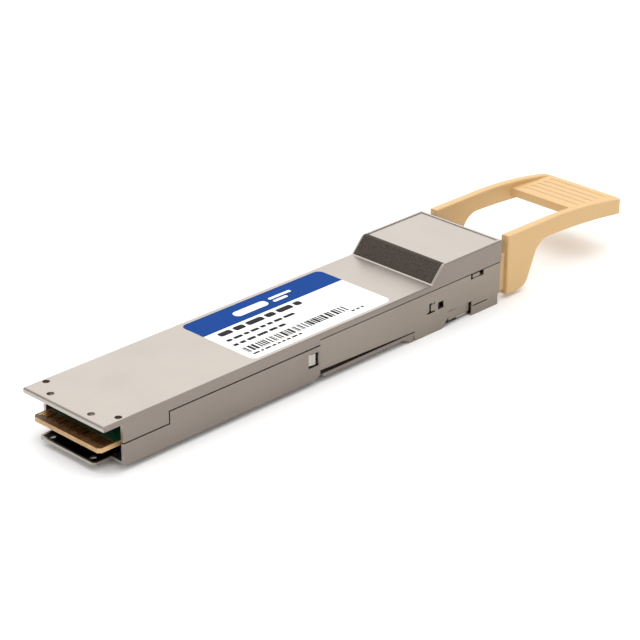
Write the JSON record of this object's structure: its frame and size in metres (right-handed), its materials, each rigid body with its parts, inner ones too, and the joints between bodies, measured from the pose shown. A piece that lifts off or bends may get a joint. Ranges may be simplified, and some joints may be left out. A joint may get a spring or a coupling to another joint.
{
  "type": "pluggable optical transceiver module",
  "caption": "Flat-topped pluggable optical transceiver with an edge connector, a raised port nose, a side latch window and a pull-tab release.",
  "frame": {"origin": "under the middle of the module's overall length and width, at the level of the nose's lowest face", "axes": "+Z out of the flat thermal face, +Y from the edge connector towards the pull tab, X across the width"},
  "size_m": [0.0226, 0.1484, 0.0142],
  "materials": {
    "shell_metal": "satin nickel plating on a die-cast shell",
    "cover_steel": "satin stamped sheet",
    "slider_steel": "satin stamped strip",
    "spring_steel": "drawn wire",
    "emi_foam": "rough conductive cloth over foam",
    "conductive_rubber": "matt, filled with metal",
    "tab_plastic": "tan, fine-grained moulding",
    "board_laminate": "green mask over glass laminate",
    "contact_gold": "hard gold over copper",
    "chip_black": "moulded package",
    "thermal_pad": "soft, putty-like",
    "oscillator_metal": "metal lid",
    "inductor_grey": "pressed powder",
    "ceramic_tan": "fired ceramic",
    "substrate_ceramic": "white ceramic",
    "die_silicon": "bare die",
    "lens_resin": "amber optical resin",
    "ribbon_aqua": "coated fibre ribbon",
    "ferrule_resin": "filled resin with a polished end",
    "pin_steel": "ground and polished",
    "clamp_resin": "moulded",
    "boot_rubber": "matt",
    "retainer_steel": "stamped sheet",
    "receptacle_plastic": "filled resin",
    "screw_steel": "dark plated",
    "label_print": "white film with a blue band and plain grey bars"
  },
  "bodies": {
    "housing": {"top_shell": "shell_metal", "bottom_shell": "shell_metal", "slope_emi_gasket": "emi_foam", "cover_sheet": "cover_steel", "return_spring_left": "spring_steel", "return_spring_right": "spring_steel", "seam_gasket_left": "conductive_rubber", "seam_gasket_right": "conductive_rubber", "main_board": "board_laminate", "edge_contacts_top": "contact_gold", "edge_contacts_bottom": "contact_gold", "signal_processor": "chip_black", "processor_thermal_pad": "thermal_pad", "microcontroller": "chip_black", "clock_oscillator": "oscillator_metal", "flash_memory": "chip_black", "voltage_regulators": "chip_black", "power_inductors": "inductor_grey", "decoupling_capacitors": "ceramic_tan", "optical_substrate": "substrate_ceramic", "laser_driver_chip": "die_silicon", "receiver_amplifier_chip": "die_silicon", "laser_array": "die_silicon", "photodiode_array": "die_silicon", "engine_thermal_pad": "thermal_pad", "lens_block": "lens_resin", "fibre_ribbon": "ribbon_aqua", "mt_ferrule": "ferrule_resin", "guide_pins": "pin_steel", "guide_pin_clamp": "clamp_resin", "ferrule_boot": "boot_rubber", "ferrule_retainer": "retainer_steel", "port_receptacle": "receptacle_plastic", "port_emi_gasket": "conductive_rubber", "housing_screws": "screw_steel", "product_label": "label_print"},
    "release": {"pull_tab": "tab_plastic", "release_slider": "slider_steel"}
  },
  "joints": [
    {"name": "release_pull", "type": "slide", "parent": "housing", "child": "release", "axis": [0, 1, 0], "range_m": [0, 0.002], "stiffness_N_per_m": 300, "springref_m": -0.003, "deforming": ["return_spring_left", "return_spring_right"]}
  ]
}
